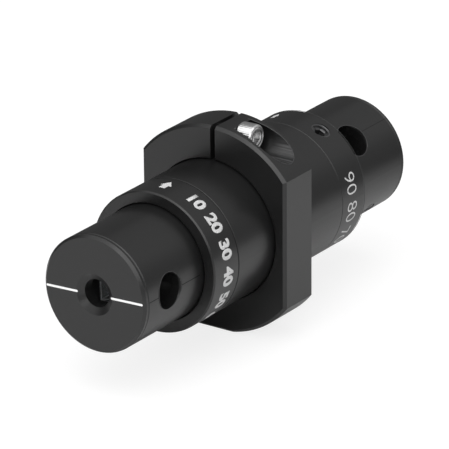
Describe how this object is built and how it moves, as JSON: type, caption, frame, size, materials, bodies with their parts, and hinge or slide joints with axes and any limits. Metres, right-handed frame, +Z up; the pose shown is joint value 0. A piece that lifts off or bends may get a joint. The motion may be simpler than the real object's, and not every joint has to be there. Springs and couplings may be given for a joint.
{
  "type": "optical isolator",
  "caption": "Tubular optical isolator with a polarizer cell at each end, held in a slit collar that screws on a post.",
  "frame": {"origin": "mouth of the post thread, in the middle of the collar's bottom flat", "axes": "+Y along the optical axis, the way the light passes; +Z up; +X towards the clamp screw's head"},
  "size_m": [0.0358, 0.096, 0.0452],
  "materials": {
    "anodised_black": "black anodised, fine satin",
    "bright_steel": "bright, knurled",
    "black_oxide_steel": "black oxide",
    "nickel_plate": "nickel plated",
    "brass": "turned",
    "calcite": "polished",
    "crystal": "polished"
  },
  "bodies": {
    "collar": {"collar": "anodised_black"},
    "clamp_screw": {"clamp_screw": "bright_steel"},
    "barrel": {"barrel": "anodised_black", "input_ring": "anodised_black", "output_ring": "anodised_black", "input_cell": "anodised_black", "input_cap": "anodised_black", "input_prism_holder": "anodised_black", "input_front_prism": "calcite", "input_rear_prism": "calcite", "input_retainer": "brass", "input_magnet": "nickel_plate", "centre_magnet": "nickel_plate", "output_magnet": "nickel_plate", "crystal_sleeve": "brass", "faraday_crystal": "crystal", "output_retainer": "brass"},
    "output_cell": {"output_cell": "anodised_black", "output_cap": "anodised_black", "output_prism_holder": "anodised_black", "output_front_prism": "calcite", "output_rear_prism": "calcite"},
    "output_lock_screw": {"output_lock_screw": "black_oxide_steel"},
    "input_holder_screw": {"input_holder_screw": "black_oxide_steel"},
    "output_holder_screw": {"output_holder_screw": "black_oxide_steel"}
  },
  "joints": [
    {"name": "clamp_screw_turn", "type": "hinge", "parent": "collar", "child": "clamp_screw", "pos_m": [0.004, 0, 0.0424], "axis": [1, 0, 0], "range_deg": [0, 720]},
    {"name": "barrel_turn", "type": "hinge", "parent": "collar", "child": "barrel", "pos_m": [0, 0, 0.0223], "axis": [0, 1, 0], "continuous": true},
    {"name": "output_cell_turn", "type": "hinge", "parent": "barrel", "child": "output_cell", "pos_m": [0, 0.039, 0.0223], "axis": [0, 1, 0], "continuous": true},
    {"name": "output_lock_screw_turn", "type": "hinge", "parent": "barrel", "child": "output_lock_screw", "pos_m": [0.00614, 0.0252, 0.03488], "axis": [0.4384, 0, 0.8988], "range_deg": [0, 720]},
    {"name": "input_holder_screw_turn", "type": "hinge", "parent": "barrel", "child": "input_holder_screw", "pos_m": [0.00058, -0.03355, 0.01132], "axis": [0.0523, 0, -0.9986], "range_deg": [0, 720]},
    {"name": "output_holder_screw_turn", "type": "hinge", "parent": "output_cell", "child": "output_holder_screw", "pos_m": [0.00791, 0.03936, 0.01466], "axis": [0.7193, 0, -0.6947], "range_deg": [0, 720]}
  ]
}
